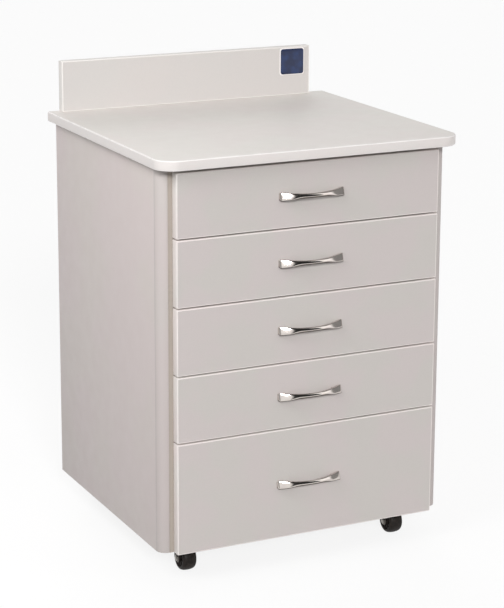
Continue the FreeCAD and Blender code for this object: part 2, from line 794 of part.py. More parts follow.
def make_axle(corner):
    """The bolt through a wheel and its nut, on the outside of the fork's legs."""
    side, swivel_y = CORNERS[corner]
    across, along = f"{side} * caster_x", f"{swivel_y} + caster_trail"
    name = f"caster_axle_{corner}"
    shank = rod(
        f"{name}_shank", "axle_radius", "2 * fork_outer + axle_head_height + axle_end", "x",
        (f"{across} - fork_outer - axle_head_height - axle_end", along, "wheel_radius"),
    )
    head = hexagon(f"{name}_head", "axle_head_radius", "axle_head_height",
                   (f"{across} + fork_outer", along, "wheel_radius"))
    blank = hexagon(f"{name}_nut_blank", "axle_head_radius", "axle_head_height",
                    (f"{across} - fork_outer - axle_head_height", along, "wheel_radius"))
    tapped = rod(
        f"{name}_tapping", "axle_radius + axle_play", "axle_head_height + 2 * overrun", "x",
        (f"{across} - fork_outer - axle_head_height - overrun", along, "wheel_radius"),
    )
    bolt = fused(f"{name}_bolt", [shank, head])
    part(name, group(name, [bolt, cut(f"{name}_nut", blank, [tapped])]))


def make_casters():
    """Four swivel casters and the screws that hold their plates."""
    part("caster_plates", group("caster_plates", [caster_plate(corner) for corner in CORNERS]))
    screws = []
    for corner in CORNERS:
        for number, (across, along) in enumerate(plate_holes(corner)):
            name = f"{corner}_{number}"
            shank = rod(f"plate_shank_{name}", "plate_screw_radius", "plate_screw_length", "z",
                        (across, along, "plate_base"))
            head = cone(f"plate_head_{name}", "plate_screw_head_radius / 2", "plate_screw_head_radius",
                        "plate_screw_head_height", "z",
                        (across, along, "plate_base - plate_screw_head_height"))
            screws.append(fused(f"plate_screw_{name}", [shank, head]))
        make_fork(corner)
        make_wheel(corner)
        make_axle(corner)
    part("caster_screws", group("caster_screws", screws))


make_worktop()
make_splash_board()
make_carcass()
make_slides()
make_drawers()
make_casters()
doc.recompute()

for item in doc.Objects:
    if "Invalid" in item.State or "Error" in item.State:
        raise RuntimeError(f"{item.Label} failed: {item.State}")
for label, item in PARTS.items():
    if item.Shape.isNull() or not item.Shape.isValid() or not item.Shape.Solids:
        raise RuntimeError(f"{label} is not a sound solid")

os.makedirs("parts", exist_ok=True)
for label, item in PARTS.items():
    item.Shape.exportStep(f"parts/{label}.step")
print(f"{len(PARTS)} sub-parts written")
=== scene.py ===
"""The looks of a mobile dental cabinet with five drawers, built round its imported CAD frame."""

import json
import math

import bmesh
import bpy
from mathutils import Matrix, Vector


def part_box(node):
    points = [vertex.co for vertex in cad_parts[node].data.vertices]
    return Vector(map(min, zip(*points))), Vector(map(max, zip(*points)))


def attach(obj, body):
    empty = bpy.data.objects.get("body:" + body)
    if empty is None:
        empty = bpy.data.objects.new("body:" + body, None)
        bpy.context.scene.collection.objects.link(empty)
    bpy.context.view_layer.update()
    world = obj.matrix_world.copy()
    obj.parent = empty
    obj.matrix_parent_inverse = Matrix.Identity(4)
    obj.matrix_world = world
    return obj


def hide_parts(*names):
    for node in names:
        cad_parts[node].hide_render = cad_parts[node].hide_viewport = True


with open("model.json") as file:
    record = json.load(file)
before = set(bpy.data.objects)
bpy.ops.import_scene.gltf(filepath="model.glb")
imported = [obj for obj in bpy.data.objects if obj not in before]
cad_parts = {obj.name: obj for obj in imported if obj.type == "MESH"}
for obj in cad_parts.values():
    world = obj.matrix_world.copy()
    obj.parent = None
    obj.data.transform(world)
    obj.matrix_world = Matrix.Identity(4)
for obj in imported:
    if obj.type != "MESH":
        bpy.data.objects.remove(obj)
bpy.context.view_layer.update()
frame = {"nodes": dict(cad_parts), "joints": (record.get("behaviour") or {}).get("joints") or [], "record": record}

MM = 0.001
TURN = 2 * math.pi
DRAWERS = range(1, 6)
CORNERS = ("front_left", "front_right", "rear_left", "rear_right")
BODY_OF_NODE = {
    node: body
    for body, nodes in frame["record"]["behaviour"]["bodies"].items()
    for node in nodes
}
JOINTS = {joint["name"]: joint for joint in frame["joints"]}

# Boards
BOARD_EASING = 1.2 * MM
BAND_WIDTH = 2.2 * MM
BAND_SEAM = 0.12 * MM

WORKTOP_CORNER_RADIUS = 38 * MM
BAND_THICKNESS = 3 * MM
BAND_ROUNDING = 2 * MM

# Bow handle, worked out from its packed box and these
HANDLE_PROJECTION = 20 * MM
HANDLE_END_DEPTH = 4.5 * MM
GRIP_DEPTH = 15.5 * MM
GRIP_HALF_LENGTH = 55.5 * MM
HANDLE_MIDDLE_HEIGHT = 8.5 * MM
HANDLE_END_ROUNDING = 3.0 * MM
HANDLE_LEAN = 0.18
HANDLE_FLARE_LEAN = 0.12
FLARE_FROM, FLARE_TO = 22 * MM, 50 * MM
# the underside gets a dark metal, painted shade for the shadow and dark reflection under the bar:
# its upper edge is set by the cosine of the angle round the section, and drops at the flares
HANDLE_SHADE_BELOW = -0.28
HANDLE_FLARE_SHADE_DROP = 0.5
HANDLE_STATIONS = 60
SECTION_POINTS = 40
# the point of each section that lies on the upper edge of that painted shade
SHADE_FROM_POINT = 12

POST_X = 48 * MM
POST_RADIUS = 4.2 * MM
POST_DEPTH = 6 * MM

# Side panels, whose front edge is rolled
ROLL_RADIUS = 18.5 * MM
PANEL_EASING = 0.6 * MM

# Casters, with distances from the swivel axis and heights from the floor
TRAIL = 20 * MM
WHEEL_RADIUS = 25 * MM
BORE_RADIUS = 3.05 * MM
FORK_INSIDE = 14.5 * MM
FORK_OUTSIDE = 16.5 * MM
CROWN_BASE = 56.1 * MM
CROWN_TOP = 58.6 * MM
RACE_TOP = 61.2 * MM
RACE_RADIUS = 15 * MM
RACE_BORE = 5.05 * MM
LEG_HALF_WIDTH = 9 * MM
LEG_FOOT = 10 * MM
FORK_FRONT = -18.9 * MM
FORK_SKIRT = 55 * MM
FORK_FILLET = 12 * MM
WASHER_RADIUS = 8.5 * MM
WASHER_THICKNESS = 0.8 * MM
# half of a wheel's outline, as (distance from its middle, radius) in mm, from the bore to the tread
WHEEL_OUTLINE = ((14, 3.05), (14, 7.5), (13.5, 8), (11.2, 8.3), (10.9, 8.8), (10.9, 16), (11.3, 16.6),
                 (13.4, 17.2), (13.9, 17.9), (14, 18.8), (13.8, 20), (13.2, 21.3), (12.2, 22.5),
                 (10.8, 23.4), (8.8, 24.1), (6.2, 24.6), (3.2, 24.92), (0.5, 25), (0.3, 24.85))
WHEEL_STEPS = 72
RIBS = 10
RIB_MIDDLE = 12.5 * MM
RIB_LENGTH = 9.4 * MM
RIB_WIDTH = 1.4 * MM
RIB_DEPTH = 2.4 * MM
RIB_FROM_MIDDLE = 11.9 * MM

# Screws
PLATE_SCREW_SPACING = 21 * MM
BACK_SCREW_ROWS = (90 * MM, 260 * MM, 430 * MM, 600 * MM, 750 * MM)
BACK_SCREW_COLUMNS = (-140 * MM, 0, 140 * MM)
BACK_SCREW_INSET = 12 * MM
# the size of each kind of head, as radius, height and width of the cross
PLATE_HEAD = {"Radius": 4.5 * MM, "Height": 2.2 * MM, "Recess": 1.1 * MM}
HANDLE_HEAD = {"Radius": 4 * MM, "Height": 2.4 * MM, "Recess": 1.1 * MM}
BACK_HEAD = {"Radius": 3.6 * MM, "Height": 1.8 * MM, "Recess": 0.9 * MM}

# Blank badge on the splash board
BADGE_CENTRE_X = 222.6 * MM
BADGE_CENTRE_Z = 869.4 * MM
BADGE_SIDE = 52 * MM
BADGE_CORNER = 5 * MM
BADGE_RIM = 2 * MM

# Studio
FLOOR_REACH = 40.0
FLOOR_WHITE_SHARE = 0.85
# how bright the walls of the studio are, as (azimuth, level), with azimuth 0 in front and 90 to the right
STUDIO_WALLS = ((-180, 0.62), (-115, 0.62), (-80, 0.5), (-34, 0.5), (-26, 1.1), (-7, 1.1),
                (-3, 0.03), (36, 0.03), (40, 1.5), (54, 1.5), (59, 0.34), (80, 0.32),
                (86, 0.12), (120, 0.14), (140, 0.62), (180, 0.62))
# between these elevations the walls fade into the ceiling
CEILING_FROM, CEILING_TO = 52, 64
CEILING_LEVEL = 0.12
FLOOR_SEEN, FLOOR_LIT = 0.95, 0.4


def srgb(red, green, blue):
    """A screen colour, 0 to 255, as the linear colour that a shader takes."""

    def linear(level):
        level /= 255
        if level <= 0.04045:
            return level / 12.92
        return ((level + 0.055) / 1.055) ** 2.4

    return (linear(red), linear(green), linear(blue), 1.0)


def add(tree, kind, inputs=None, **settings):
    """Adds a node, sets its settings, and links or sets its inputs by name or number."""
    made = tree.nodes.new(kind)
    for setting, value in settings.items():
        setattr(made, setting, value)
    for socket, value in (inputs or {}).items():
        if isinstance(value, bpy.types.NodeSocket):
            tree.links.new(value, made.inputs[socket])
        else:
            made.inputs[socket].default_value = value
    return made


def blank_material(name, **sockets):
    """A material whose shader has the sockets given, in words with underscores."""
    material = bpy.data.materials.new(name)
    material.use_nodes = True
    tree = material.node_tree
    shader = tree.nodes["Principled BSDF"]
    for socket, value in sockets.items():
        shader.inputs[socket.replace("_", " ").title().replace("Ior", "IOR")].default_value = value
    return material, tree, shader


def object_place(tree, stretch=(1, 1, 1)):
    """Where a point is on its piece, with distances along each axis multiplied by stretch."""
    place = add(tree, "ShaderNodeTexCoord").outputs["Object"]
    return add(tree, "ShaderNodeMapping", {"Vector": place, "Scale": stretch}).outputs["Vector"]


def noise(tree, place, grain, detail=2.0, roughness=0.5):
    """Cloudy noise from 0 to 1 whose patches are about grain metres across."""
    inputs = {"Vector": place, "Scale": 1 / grain, "Detail": detail, "Roughness": roughness}
    return add(tree, "ShaderNodeTexNoise", inputs).outputs["Fac"]


def ramp(tree, factor, *stops):
    """A colour that runs through the stops, each a place from 0 to 1 and a colour."""
    made = add(tree, "ShaderNodeValToRGB", {"Fac": factor})
    elements = made.color_ramp.elements
    while len(elements) < len(stops):
        elements.new(1.0)
    for element, (where, colour) in zip(elements, stops):
        element.position = where
        element.color = colour
    return made.outputs["Color"]


def spread(tree, factor, low, high):
    """A number that runs from low to high over the middle of a noise."""
    inputs = {"Value": factor, "From Min": 0.3, "From Max": 0.7, "To Min": low, "To Max": high}
    return add(tree, "ShaderNodeMapRange", inputs).outputs["Result"]


def bump(tree, shader, height, depth, strength=1.0):
    """Raises the shader's surface by height times depth metres."""
    inputs = {"Height": height, "Distance": depth, "Strength": strength}
    tree.links.new(add(tree, "ShaderNodeBump", inputs).outputs["Normal"], shader.inputs["Normal"])


def shade(tree, shader, colour, factor, low, high):
    """Sends a colour to the shader, darkened and lightened a little by a noise."""
    level = spread(tree, factor, low, high)
    grey = add(tree, "ShaderNodeCombineColor", {"Red": level, "Green": level, "Blue": level}).outputs["Color"]
    mixed = add(tree, "ShaderNodeMix", {0: 1.0, 6: colour, 7: grey}, data_type="RGBA", blend_type="MULTIPLY")
    tree.links.new(mixed.outputs[2], shader.inputs["Base Color"])


def laminate(name, first_hue, second_hue, patch=120 * MM, roughness=0.42):
    """Pressed laminate: its hue drifts in broad patches, and its skin has fine shallow pores."""
    material, tree, shader = blank_material(name, specular_ior_level=0.4)
    place = object_place(tree)
    drift = noise(tree, place, patch, detail=3.0)
    hue = ramp(tree, drift, (0.42, first_hue), (0.58, second_hue))
    shade(tree, shader, hue, noise(tree, place, 1.6 * MM), 0.985, 1.015)
    pores = noise(tree, place, 0.7 * MM, detail=3.0)
    gloss = spread(tree, noise(tree, place, 30 * MM), roughness - 0.04, roughness + 0.06)
    tree.links.new(gloss, shader.inputs["Roughness"])
    bump(tree, shader, pores, 0.05 * MM, 0.5)
    return material


def polished_nickel():
    """Warm bright nickel plate, with faint polishing marks along it."""
    material, tree, shader = blank_material("polished_nickel", metallic=1.0)
    marks = noise(tree, object_place(tree, (0.08, 1, 1)), 0.6 * MM, detail=3.0)
    cloud = noise(tree, object_place(tree), 14 * MM)
    hue = ramp(tree, cloud, (0.4, srgb(203, 195, 190)), (0.6, srgb(208, 201, 195)))
    shade(tree, shader, hue, marks, 0.98, 1.01)
    tree.links.new(spread(tree, marks, 0.06, 0.10), shader.inputs["Roughness"])
    bump(tree, shader, marks, 0.0006 * MM, 0.3)
    return material


def painted_shade_metal():
    """Dull grey-brown metal: painted shade for the shadow and dark reflection under a handle's bar."""
    material, tree, shader = blank_material("painted_shade_metal", metallic=1.0)
    grain = noise(tree, object_place(tree), 0.9 * MM, detail=3.0)
    cloud = noise(tree, object_place(tree), 9 * MM)
    # dark grey-brown, painted shade under the bar
    hue = ramp(tree, cloud, (0.4, srgb(86, 78, 73)), (0.6, srgb(96, 88, 83)))
    shade(tree, shader, hue, grain, 0.94, 1.04)
    tree.links.new(spread(tree, grain, 0.30, 0.42), shader.inputs["Roughness"])
    bump(tree, shader, grain, 0.01 * MM, 0.4)
    return material


def zinc_steel(name, dark, bright, roughness):
    """Bright plated steel with small spangles."""
    material, tree, shader = blank_material(name, metallic=1.0)
    place = object_place(tree)
    inputs = {"Vector": place, "Scale": 1 / (3 * MM)}
    spangle = add(tree, "ShaderNodeTexVoronoi", inputs).outputs["Distance"]
    hue = ramp(tree, spangle, (0.2, dark), (0.8, bright))
    shade(tree, shader, hue, noise(tree, place, 9 * MM), 0.94, 1.04)
    tree.links.new(spread(tree, spangle, roughness, roughness + 0.1), shader.inputs["Roughness"])
    bump(tree, shader, noise(tree, place, 0.5 * MM), 0.01 * MM, 0.5)
    return material


def black_finish(name, colour, worn, roughness, grain):
    """Paint or moulded rubber: nearly black, a little greyer where it is scuffed."""
    material, tree, shader = blank_material(name, specular_ior_level=0.18)
    place = object_place(tree)
    scuffs = noise(tree, place, 7 * MM, detail=5.0, roughness=0.65)
    hue = ramp(tree, scuffs, (0.45, colour), (0.75, worn))
    shade(tree, shader, hue, noise(tree, place, grain), 0.9, 1.1)
    tree.links.new(spread(tree, scuffs, roughness - 0.06, roughness + 0.08), shader.inputs["Roughness"])
    bump(tree, shader, noise(tree, place, grain, detail=3.0), 0.05 * MM, 0.5)
    return material


def enamel():
    """Navy enamel under a clear dome, a little uneven in depth."""
    material, tree, shader = blank_material(
        "navy_enamel", roughness=0.3, coat_weight=0.4, coat_roughness=0.12)
    place = object_place(tree)
    depth = noise(tree, place, 18 * MM)
    hue = ramp(tree, depth, (0.4, srgb(15, 28, 62)), (0.6, srgb(22, 42, 84)))
    shade(tree, shader, hue, noise(tree, place, 1.5 * MM), 0.95, 1.05)
    return material


MATERIALS = {
    "worktop_laminate": laminate("worktop_laminate", srgb(217, 213, 208), srgb(218, 212, 208), 160 * MM),
    "edge_band": laminate("edge_band", srgb(215, 210, 207), srgb(216, 210, 207), 90 * MM, 0.34),
    "side_laminate": laminate("side_laminate", srgb(201, 192, 188), srgb(202, 191, 189), 170 * MM),
    "front_laminate": laminate("front_laminate", srgb(192, 187, 183), srgb(194, 186, 184), 90 * MM),
    # the carcass board keeps its tone from the shaded recess beside the fronts: its own beige darkened by painted
    # shade
    "carcass_board": laminate("carcass_board", srgb(167, 157, 148), srgb(165, 156, 147), 60 * MM, 0.5),
    "drawer_board": laminate("drawer_board", srgb(235, 233, 228), srgb(232, 229, 225), 80 * MM, 0.5),
    "polished_nickel": polished_nickel(),
    "zinc_steel": zinc_steel("zinc_steel", srgb(176, 180, 184), srgb(206, 208, 210), 0.3),
    "axle_steel": zinc_steel("axle_steel", srgb(150, 147, 143), srgb(178, 175, 170), 0.38),
    "caster_steel": black_finish("caster_steel", srgb(23, 20, 19), srgb(44, 39, 36), 0.40, 1.2 * MM),
    "caster_wheel": black_finish("caster_wheel", srgb(26, 21, 19), srgb(52, 45, 41), 0.50, 0.8 * MM),
}
SPLASH_FACE = laminate("splash_laminate", srgb(195, 191, 188), srgb(196, 191, 188), 130 * MM)
# painted highlight: a paler copy of the edge band on the worktop band's rounded edges; it is also the badge
# frame's own pale colour
EDGE_HIGHLIGHT_AND_RIM = laminate("edge_highlight_and_rim", srgb(231, 227, 225), srgb(232, 227, 225), 90 * MM, 0.28)
FRONT_BAND = laminate("front_band", srgb(222, 217, 213), srgb(224, 216, 213), 90 * MM, 0.36)
SPLASH_BAND = laminate("splash_band", srgb(219, 216, 212), srgb(220, 216, 212), 90 * MM, 0.36)
# painted shade: a darker copy of the side laminate for the rolled front edges, where the key light falls brightest
SHADED_ROLL_LAMINATE = laminate("shaded_roll_laminate", srgb(185, 178, 175), srgb(186, 177, 175), 170 * MM)
# painted shade: dark metal for the undersides of the handles
UNDERSIDE_PAINTED_SHADE = painted_shade_metal()
ENAMEL = enamel()
WASHER_STEEL = zinc_steel("washer_steel", srgb(92, 87, 82), srgb(112, 107, 101), 0.4)


def dress_frame():
    """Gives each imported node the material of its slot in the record."""
    for part in frame["record"]["subparts"]:
        mesh = frame["nodes"][part["node"]].data
        mesh.materials.clear()
        mesh.materials.append(MATERIALS[part["material_slot"]])


def keep(piece, body, stands_for=()):
    """Hangs a finished piece on the body that it rides on, and hides the nodes that it stands for."""
    if stands_for:
        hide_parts(*stands_for)
    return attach(piece, body)


def piece_from(shape, name, materials, sharp=35):
    """Turns a bmesh into a smooth piece, with edges over sharp degrees kept crisp."""
    bmesh.ops.remove_doubles(shape, verts=shape.verts, dist=0.001 * MM)
    bmesh.ops.recalc_face_normals(shape, faces=shape.faces)
    mesh = bpy.data.meshes.new(name)
    shape.to_mesh(mesh)
    shape.free()
    for material in materials:
        mesh.materials.append(material)
    mesh.shade_smooth()
    mesh.set_sharp_from_angle(angle=math.radians(sharp))
    piece = bpy.data.objects.new(name, mesh)
    bpy.context.scene.collection.objects.link(piece)
    return piece


def block(low, high):
    """A new bmesh with one box between two corners."""
    shape = bmesh.new()
    bmesh.ops.create_cube(shape, size=1.0)
    for vertex in shape.verts:
        vertex.co = [low[axis] if vertex.co[axis] < 0 else high[axis] for axis in range(3)]
    return shape


def banded_board(name, node, shown, materials):
    """A laminated board with eased edges and a band round it, shown on the faces with those normals."""
    low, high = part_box(node)
    shape = block(low, high)
    bmesh.ops.bevel(shape, geom=list(shape.edges), offset=BOARD_EASING, segments=4, profile=0.5,
                    affect="EDGES", offset_type="OFFSET")
    for face in shape.faces:
        face.material_index = 1
    for normal in shown:
        shape.faces.ensure_lookup_table()
        facing = [f for f in shape.faces if f.normal.dot(Vector(normal)) > 0.99]
        face = max(facing, key=lambda f: f.calc_area())
        steps = ((BAND_WIDTH - BOARD_EASING, 0.0), (BAND_SEAM, -BAND_SEAM), (BAND_SEAM, BAND_SEAM))
        for width, rise in steps:
            bmesh.ops.inset_region(shape, faces=[face], thickness=width, depth=rise)
        face.material_index = 0
    return piece_from(shape, name, materials)


def make_fronts():
    """The five drawer fronts."""
    for drawer in DRAWERS:
        node = f"drawer_front_{drawer}"
        front = banded_board(f"banded_front_{drawer}", node, ((0, -1, 0), (0, 1, 0)),
                             (MATERIALS["front_laminate"], FRONT_BAND))
        keep(front, BODY_OF_NODE[node], [node])


def make_splash_board():
    """The upright board along the rear of the work top."""
    board = banded_board("banded_splash_board", "backsplash", ((0, -1, 0), (0, 1, 0)),
                         (SPLASH_FACE, SPLASH_BAND))
    keep(board, "cabinet", ["backsplash"])


def arc(centre, radius, start, stop, steps):
    """Points along an arc between two angles in degrees."""
    points = []
    for step in range(steps + 1):
        angle = math.radians(start + (stop - start) * step / steps)
        points.append((centre[0] + radius * math.cos(angle), centre[1] + radius * math.sin(angle)))
    return points


def make_worktop_band():
    """The band round the front and the ends of the work top, with its edges rounded over."""
    low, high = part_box("worktop_edge_band")
    reach = WORKTOP_CORNER_RADIUS
    path = [((low.x, high.y), (-1, 0))]
    for middle_x, start in ((low.x + reach, 180), (high.x - reach, 270)):
        for x, y in arc((middle_x, low.y + reach), reach, start, start + 90, 24):
            path.append(((x, y), ((x - middle_x) / reach, (y - low.y - reach) / reach)))
    path.append(((high.x, high.y), (1, 0)))
    section = [(-BAND_THICKNESS, low.z)]
    section += arc((-BAND_ROUNDING, low.z + BAND_ROUNDING), BAND_ROUNDING, -90, 0, 5)
    section += arc((-BAND_ROUNDING, high.z - BAND_ROUNDING), BAND_ROUNDING, 0, 90, 5)
    section += [(-BAND_THICKNESS, high.z)]
    shape = bmesh.new()
    rings = []
    for (x, y), (out_x, out_y) in path:
        rings.append([shape.verts.new((x + out_x * out, y + out_y * out, z)) for out, z in section])
    for here, there in zip(rings, rings[1:]):
        for step in range(len(section)):
            after = (step + 1) % len(section)
            side = shape.faces.new((here[step], here[after], there[after], there[step]))
            # the rounded easings take the paler copy: painted highlight lines
            side.material_index = 1 if step in (*range(1, 6), *range(7, 12)) else 0
    shape.faces.new(rings[0])
    shape.faces.new(rings[-1])
    band = piece_from(shape, "rounded_worktop_band", [MATERIALS["edge_band"], EDGE_HIGHLIGHT_AND_RIM], sharp=50)
    keep(band, "cabinet", ["worktop_edge_band"])


def sag(half_chord, rise, across):
    """How far an arc of that rise has fallen, at a distance across from its middle."""
    radius = (half_chord ** 2 + rise ** 2) / (2 * rise)
    return radius - math.sqrt(radius ** 2 - across ** 2)


def handle_section(depth_in, depth_out, height, flatness):
    """A bar section as (depth, rise) points: crowned in front, and at flatness 1 flat and leaning back."""
    points = []
    crown = (depth_out - depth_in) * (0.78 - 0.64 * flatness)
    belt = depth_out - crown
    half_points = SECTION_POINTS // 2
    # from this angle round the underside the section takes the painted shade
    shade_angle = math.acos(HANDLE_SHADE_BELOW - HANDLE_FLARE_SHADE_DROP * flatness)
    for step in range(SECTION_POINTS):
        if step <= SHADE_FROM_POINT:
            angle = shade_angle * step / SHADE_FROM_POINT
        elif step <= half_points:
            share = (step - SHADE_FROM_POINT) / (half_points - SHADE_FROM_POINT)
            angle = shade_angle + (TURN / 2 - shade_angle) * share
        else:
            angle = TURN * step / SECTION_POINTS
        out, rise = math.sin(angle), math.cos(angle)
        if out > 0:
            depth = belt + crown * out ** (1.0 - 0.5 * flatness)
        else:
            depth = belt + (belt - depth_in) * -abs(out) ** 0.25
        squeeze = 1.0 - (0.1 if out > 0 else 0.5) - 0.3 * flatness * (out > 0)
        up = height / 2 * math.copysign(abs(rise) ** squeeze, rise)
        lean = (HANDLE_LEAN + HANDLE_FLARE_LEAN * flatness) * up * (depth - depth_in) / (depth_out - depth_in)
        points.append((depth - lean, up))
    return points


def make_handle(drawer):
    """A bow handle: slim in the middle, flared at its ends, which lie on the drawer front."""
    node = f"handle_{drawer}"
    low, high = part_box(node)
    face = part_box(f"drawer_front_{drawer}")[0].y
    half = (high.x - low.x) / 2
    middle_z = (low.z + high.z) / 2
    end_height = high.z - low.z
    rings = []
    shape = bmesh.new()
    for station in range(HANDLE_STATIONS + 1):
        # stations are closer together towards the ends
        share = math.sin(math.pi * (station / HANDLE_STATIONS - 0.5))
        across = half * share
        inset = max(0.0, HANDLE_END_ROUNDING - (half - abs(across)))
        shrink = HANDLE_END_ROUNDING - math.sqrt(HANDLE_END_ROUNDING ** 2 - inset ** 2)
        outer = HANDLE_PROJECTION - sag(half, HANDLE_PROJECTION - HANDLE_END_DEPTH, across) - shrink
        inner = 0.0
        if abs(across) < GRIP_HALF_LENGTH:
            inner = GRIP_DEPTH - sag(GRIP_HALF_LENGTH, GRIP_DEPTH, across)
        flare = sag(half, end_height - HANDLE_MIDDLE_HEIGHT, across)
        height = HANDLE_MIDDLE_HEIGHT + flare - 2 * shrink
        part = min(1.0, max(0.0, (abs(across) - FLARE_FROM) / (FLARE_TO - FLARE_FROM)))
        flatness = part * part * (3 - 2 * part)
        ring = [
            shape.verts.new((across, face - depth, middle_z + rise))
            for depth, rise in handle_section(inner, outer, height, flatness)
        ]
        rings.append(ring)
    for here, there in zip(rings, rings[1:]):
        for step in range(SECTION_POINTS):
            after = (step + 1) % SECTION_POINTS
            side = shape.faces.new((here[step], here[after], there[after], there[step]))
            # the lower faces take the dark metal: painted shade under the bar
            if SHADE_FROM_POINT <= step < SECTION_POINTS - SHADE_FROM_POINT:
                side.material_index = 1
    shape.faces.new(rings[0])
    shape.faces.new(rings[-1])
    for end in (-1, 1):
        middle = Vector((end * POST_X, face - POST_DEPTH / 2, middle_z))
        post = Matrix.Translation(middle) @ Matrix.Rotation(TURN / 4, 4, "X")
        bmesh.ops.create_cone(shape, cap_ends=True, segments=32, radius1=POST_RADIUS, radius2=POST_RADIUS,
                              depth=POST_DEPTH, matrix=post)
    handle = piece_from(shape, f"bow_handle_{drawer}", [MATERIALS["polished_nickel"], UNDERSIDE_PAINTED_SHADE], sharp=60)
    keep(handle, BODY_OF_NODE[node], [node])


def prism(outline, low, high, place):
    """A new bmesh: an outline of (a, b) points carried from low to high; place(a, b, c) sets a corner."""
    shape = bmesh.new()
    near, far = ([shape.verts.new(place(a, b, c)) for a, b in outline] for c in (low, high))
    for step in range(len(outline)):
        after = (step + 1) % len(outline)
        shape.faces.new((near[step], near[after], far[after], far[step]))
    shape.faces.new(near)
    shape.faces.new(far)
    bmesh.ops.recalc_face_normals(shape, faces=shape.faces)
    return shape


def carved(shape, tool, operation):
    """What is left of a shape when a tool shape is applied to it."""
    holders = []
    for part in (shape, tool):
        mesh = bpy.data.meshes.new("carving")
        part.to_mesh(mesh)
        part.free()
        holders.append(bpy.data.objects.new("carving", mesh))
        bpy.context.scene.collection.objects.link(holders[-1])
    cut = holders[0].modifiers.new("cut", "BOOLEAN")
    cut.operation = operation
    cut.solver = "EXACT"
    cut.object = holders[1]
    result = bmesh.new()
    result.from_mesh(holders[0].evaluated_get(bpy.context.evaluated_depsgraph_get()).data)
    for holder in holders:
        bpy.data.objects.remove(holder, do_unlink=True)
    return result


def turned(shape, outline, place, steps):
    """Adds a ring: an outline of (along, radius) points turned round; place(along, a, b) sets a corner."""
    rings = []
    for step in range(steps):
        angle = TURN * step / steps
        rings.append([
            shape.verts.new(place(along, radius * math.cos(angle), radius * math.sin(angle)))
            for along, radius in outline
        ])
    for step in range(steps):
        here, there = rings[step], rings[(step + 1) % steps]
        for point in range(len(outline)):
            after = (point + 1) % len(outline)
            shape.faces.new((here[point], here[after], there[after], there[point]))


def make_side_panels():
    """The two outer sides, with their front edge rolled round."""
    for name, side in (("left", -1), ("right", 1)):
        node = f"side_panel_{name}"
        low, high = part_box(node)
        outer, inner = (low.x, high.x) if side < 0 else (high.x, low.x)
        middle = (outer - side * ROLL_RADIUS, low.y + ROLL_RADIUS)
        outline = [(outer, high.y)]
        if side < 0:
            outline += arc(middle, ROLL_RADIUS, 180, 270, 28)
        else:
            outline += arc(middle, ROLL_RADIUS, 360, 270, 28)
        outline += [(inner, low.y), (inner, high.y)]
        shape = prism(outline, low.z, high.z, lambda a, b, c: (a, b, c))
        edges = [edge for edge in shape.edges if edge.calc_face_angle() > math.radians(30)]
        bmesh.ops.bevel(shape, geom=edges, offset=PANEL_EASING, segments=3, profile=0.5, affect="EDGES")
        # faces of the roll take the darker copy of the side laminate: painted shade
        for flat in shape.faces:
            if flat.calc_center_median().y < low.y + ROLL_RADIUS:
                flat.material_index = 1
        panel = piece_from(shape, f"rolled_side_{name}", [MATERIALS["side_laminate"], SHADED_ROLL_LAMINATE], sharp=50)
        keep(panel, "cabinet", [node])


def make_fork(corner):
    """A caster's pressed fork: a crown with bent-down legs, and the ring that the balls run under."""
    swivel = JOINTS[f"swivel_{corner}_turn"]["pos_m"]
    body = f"swivel_{corner}"
    outer_bend, inner_bend = 3 * MM, 1 * MM
    foot = LEG_FOOT
    section = [(-FORK_OUTSIDE, foot)]
    section += arc((-FORK_OUTSIDE + outer_bend, CROWN_TOP - outer_bend), outer_bend, 180, 90, 6)
    section += arc((FORK_OUTSIDE - outer_bend, CROWN_TOP - outer_bend), outer_bend, 90, 0, 6)
    section += [(FORK_OUTSIDE, foot), (FORK_INSIDE, foot)]
    section += arc((FORK_INSIDE - inner_bend, CROWN_BASE - inner_bend), inner_bend, 0, 90, 4)
    section += arc((-FORK_INSIDE + inner_bend, CROWN_BASE - inner_bend), inner_bend, 90, 180, 4)
    section += [(-FORK_INSIDE, foot)]
    front, leg_front, leg_back = FORK_FRONT, TRAIL - LEG_HALF_WIDTH, TRAIL + LEG_HALF_WIDTH
    skirt, fillet = FORK_SKIRT, FORK_FILLET
    side = [(front, CROWN_TOP + foot), (front, skirt + 2 * MM)]
    side += arc((front + 2 * MM, skirt + 2 * MM), 2 * MM, 180, 270, 4)
    side += arc((leg_front - fillet, skirt - fillet), fillet, 90, 0, 10)
    side += arc((TRAIL, WHEEL_RADIUS), LEG_HALF_WIDTH, 180, 360, 24)
    side += [(leg_back, CROWN_TOP + foot)]
    bent = prism(section, swivel[1] + front - foot, swivel[1] + leg_back + foot,
                 lambda a, b, c: (swivel[0] + a, c, b))
    blank = prism(side, swivel[0] - FORK_OUTSIDE - foot, swivel[0] + FORK_OUTSIDE + foot,
                  lambda a, b, c: (c, swivel[1] + a, b))
    shape = carved(bent, blank, "INTERSECT")
    ease = 0.5 * MM
    ring = [(RACE_TOP, RACE_BORE), (RACE_TOP, RACE_RADIUS - ease), (RACE_TOP - ease, RACE_RADIUS),
            (CROWN_TOP - ease, RACE_RADIUS), (CROWN_TOP - ease, RACE_BORE)]
    turned(shape, ring, lambda along, a, b: (swivel[0] + a, swivel[1] + b, along), 48)
    fork = piece_from(shape, f"pressed_fork_{corner}", [MATERIALS["caster_steel"]])
    keep(fork, body, [f"caster_fork_{corner}"])


